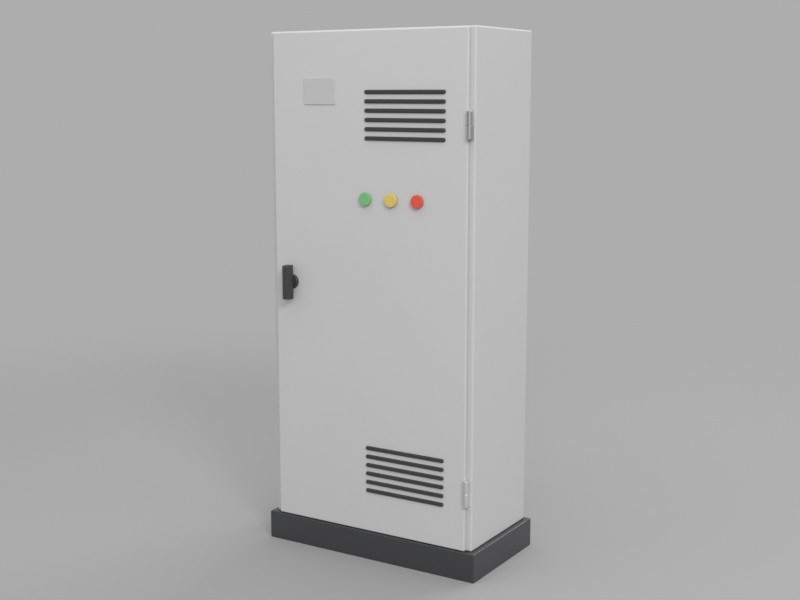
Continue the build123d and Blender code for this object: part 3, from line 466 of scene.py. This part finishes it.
def makeHeads(name, seats, look, shape):
    # A crowned disc on polar rings between two poles, with a crossed slot pressed in;
    # a seat is a centre and two directions, and every head is the same points turned to its seat
    inner = np.linspace(shape["firstRing"], shape["lastRing"], look["rings"])
    ring = np.concatenate([inner, shape["rim"]])[:, None]
    turn = np.linspace(0, 2 * np.pi, look["sides"], endpoint=False)[None, :]
    u, v = ring * np.cos(turn), ring * np.sin(turn)
    dome = look["height"] * (1 - shape["crown"] * ring**2)
    dome[-2:, 0] = [look["height"] * shape["rimHeight"], 0]
    nearAxis = look["slot"] - np.minimum(np.abs(u), np.abs(v))
    slot = np.clip(nearAxis / shape["slotEdge"], 0, 1) * (ring < shape["slotEnd"])
    lift = dome - slot * look["height"] * shape["slotDepth"]
    local = np.stack([u * look["radius"], v * look["radius"], lift], -1).reshape(-1, 3)
    slotPole = [0, 0, look["height"] * shape["poleHeight"]]
    seatPole = [0, 0, 0]
    local = np.vstack([local, [slotPole, seatPole]])
    centres, firsts, seconds = np.array(seats).transpose(1, 0, 2)
    turned = np.stack([firsts, seconds, np.cross(firsts, seconds)], 1)
    points = centres[:, None, :] + np.einsum("pk,nkd->npd", local, turned)
    rim = np.arange(turn.size)
    after = (rim + 1) % turn.size
    lowest = u.size - turn.size
    quads = gridFaces(*u.shape, wrapColumns=True)
    crown = np.stack([np.full_like(rim, u.size), rim, after], -1)
    foot = np.stack([np.full_like(rim, u.size + 1), lowest + after, lowest + rim], -1)
    starts = (np.arange(len(seats)) * len(local))[:, None, None]
    faces = [(part[None] + starts).reshape(-1, part.shape[1]) for part in (quads, crown, foot)]
    return addPiece(name, points, faces, "zinc", "cabinet")


relayScrews = {"radius": 0.0042, "height": 0.0016, "slot": 0.16, "rings": 6, "sides": 24}
relayShape = {"count": 3, "pitch": 0.051, "across": 0.014, "shoulderShare": 0.64, "screwShare": 0.11}
terminalScrews = {"radius": 0.0026, "height": 0.0012, "slot": 0.18, "rings": 5, "sides": 20}
terminalShape = {"count": 16, "slopeLow": (0.62, 0.14), "slopeHigh": (1.0, 0.30)}


def seatRelayScrews(shape):  # three screws on each relay's lower shoulder and three on its upper one
    low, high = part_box("control_relays")
    depth, height = high.y - low.y, high.z - low.z
    y = high.y - depth * shape["shoulderShare"]
    seats = []
    for i in range(shape["count"]):
        for j in (-1, 0, 1):
            x = (low.x + high.x) / 2 + shape["pitch"] * (i - (shape["count"] - 1) / 2) + shape["across"] * j
            for share in (shape["screwShare"], 1 - shape["screwShare"]):
                seats.append(((x, y, low.z + height * share), (1, 0, 0), (0, 0, 1)))
    return seats


def seatTerminalScrews(shape):  # one screw in the middle of each terminal's two slopes
    low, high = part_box("terminal_row")
    depth, height = high.y - low.y, high.z - low.z
    width = (high.x - low.x) / shape["count"]
    (nearU, nearV), (farU, farV) = shape["slopeLow"], shape["slopeHigh"]
    u, v = (nearU + farU) / 2, (nearV + farV) / 2
    slope = np.array([0, -(farU - nearU) * depth, (farV - nearV) * height])
    slope = slope / np.linalg.norm(slope)
    seats = []
    for i in range(shape["count"]):
        x = low.x + width * (i + 0.5)
        seats.append(((x, high.y - depth * u, low.z + height * v), (1, 0, 0), slope))
        seats.append(((x, high.y - depth * u, high.z - height * v), (1, 0, 0), slope * (0, -1, 1)))
    return seats


makeHeads("relayScrews", seatRelayScrews(relayShape), relayScrews, headShape)
makeHeads("terminalScrews", seatTerminalScrews(terminalShape), terminalScrews, headShape)
print("screw heads on the relays and the terminal row")


# Stage, light and camera

stageLook = {  # the floor is lit up to near metres from the middle and plain grey from far
    "grey": shade(173, 173, 173), "floor": shade(153, 153, 153), "rough": 0.9, "specular": 0.1,
    "near": 1.9, "far": 4.6, "radius": 40.0, "level": -0.0004,
    "middle": 0.001, "firstRing": 0.2, "rings": 24, "sides": 64,
}


def makeFloor(look):
    # A disc on polar rings that widen by a fixed ratio
    rings = np.geomspace(look["firstRing"], look["radius"], look["rings"])
    radius = np.concatenate([[look["middle"]], rings])[:, None]
    turn = np.linspace(0, 2 * np.pi, look["sides"], endpoint=False)[None, :]
    level = np.full((len(radius), turn.size), look["level"])
    points = np.stack([radius * np.cos(turn), radius * np.sin(turn), level], -1)
    faces = gridFaces(len(radius), turn.size, wrapColumns=True)
    mesh = bpy.data.meshes.new("floor")
    mesh.from_pydata(points.reshape(-1, 3).tolist(), [], faces.tolist())
    floor = bpy.data.objects.new("floor", mesh)
    bpy.context.scene.collection.objects.link(floor)
    fixed = {
        "Base Color": look["floor"], "Roughness": look["rough"], "Specular IOR Level": look["specular"],
    }
    material, shader, place = startFinish("floorCard", fixed)
    distance = place.node("VectorMath", {"operation": "LENGTH"}, {0: place}, "Value")
    glow = place.node("Emission", {}, {"Color": look["grey"]})
    lit = Wire(material.node_tree, shader.outputs[0])
    mixed = place.node("MixShader", {}, {0: distance.rise(look["near"], look["far"]), 1: lit, 2: glow})
    place.feed(material.node_tree.nodes["Material Output"].inputs["Surface"], mixed)
    mesh.materials.append(material)


lightLook = {
    "dome": 0.705,
    "aim": (0.0, 0.0, 0.9),
    "lamps": {
        "keyLamp": {"place": (9.2, -6.8, 7.5), "size": 2.5, "watts": 472.0},
        "frontLamp": {"place": (6.8, -9.6, 6.7), "size": 6.0, "watts": 468.0},
        "backLamp": {"place": (1.2, 7.2, 7.5), "size": 5.2, "watts": 349.0},
        "topLamp": {"place": (0.0, -1.0, 5.0), "size": 4.0, "watts": 59.0},
    },
}


def makeWorld(look, grey):  # an even dome lights the object, plain grey is what the camera and gloss see
    world = bpy.data.worlds.new("room")
    world.use_nodes = True
    bpy.context.scene.world = world
    tree = world.node_tree
    start = Wire(tree, None)
    path = start.node("LightPath", {}, {}, "Is Camera Ray")
    ends = path.socket.node.outputs
    seen = path + Wire(tree, ends["Is Glossy Ray"]) + Wire(tree, ends["Is Transmission Ray"])
    dome = (look["dome"], look["dome"], look["dome"], 1.0)
    start.feed(tree.nodes["Background"].inputs["Color"], seen.blend(dome, grey))


def makeLamp(name, look, target):
    lamp = bpy.data.lights.new(name, "AREA")
    lamp.size = look["size"]
    lamp.energy = look["watts"]
    thing = bpy.data.objects.new(name, lamp)
    bpy.context.scene.collection.objects.link(thing)
    place = np.array(look["place"])
    aim = np.array(target) - place
    flat = math.hypot(aim[0], aim[1])
    thing.location = place
    thing.rotation_euler = (math.pi / 2 + math.atan2(aim[2], flat), 0, math.atan2(-aim[0], aim[1]))


cameraLook = {
    "place": (2.2507, -3.6115, 1.5883), "dip": 0.1649, "turn": 0.5569, "lens": 55.49, "sensor": 36.0,
}


def makeCamera(look):
    camera = bpy.data.cameras.new("camera")
    camera.lens = look["lens"]
    camera.sensor_width = look["sensor"]
    thing = bpy.data.objects.new("camera", camera)
    bpy.context.scene.collection.objects.link(thing)
    thing.location = look["place"]
    thing.rotation_euler = (math.pi / 2 - look["dip"], 0, look["turn"])
    bpy.context.scene.camera = thing


makeFloor(stageLook)
makeWorld(lightLook, stageLook["grey"])
for lampName, lampLook in lightLook["lamps"].items():
    makeLamp(lampName, lampLook, lightLook["aim"])
makeCamera(cameraLook)
bpy.context.scene.view_settings.view_transform = "Standard"
print("stage, lamps and camera")
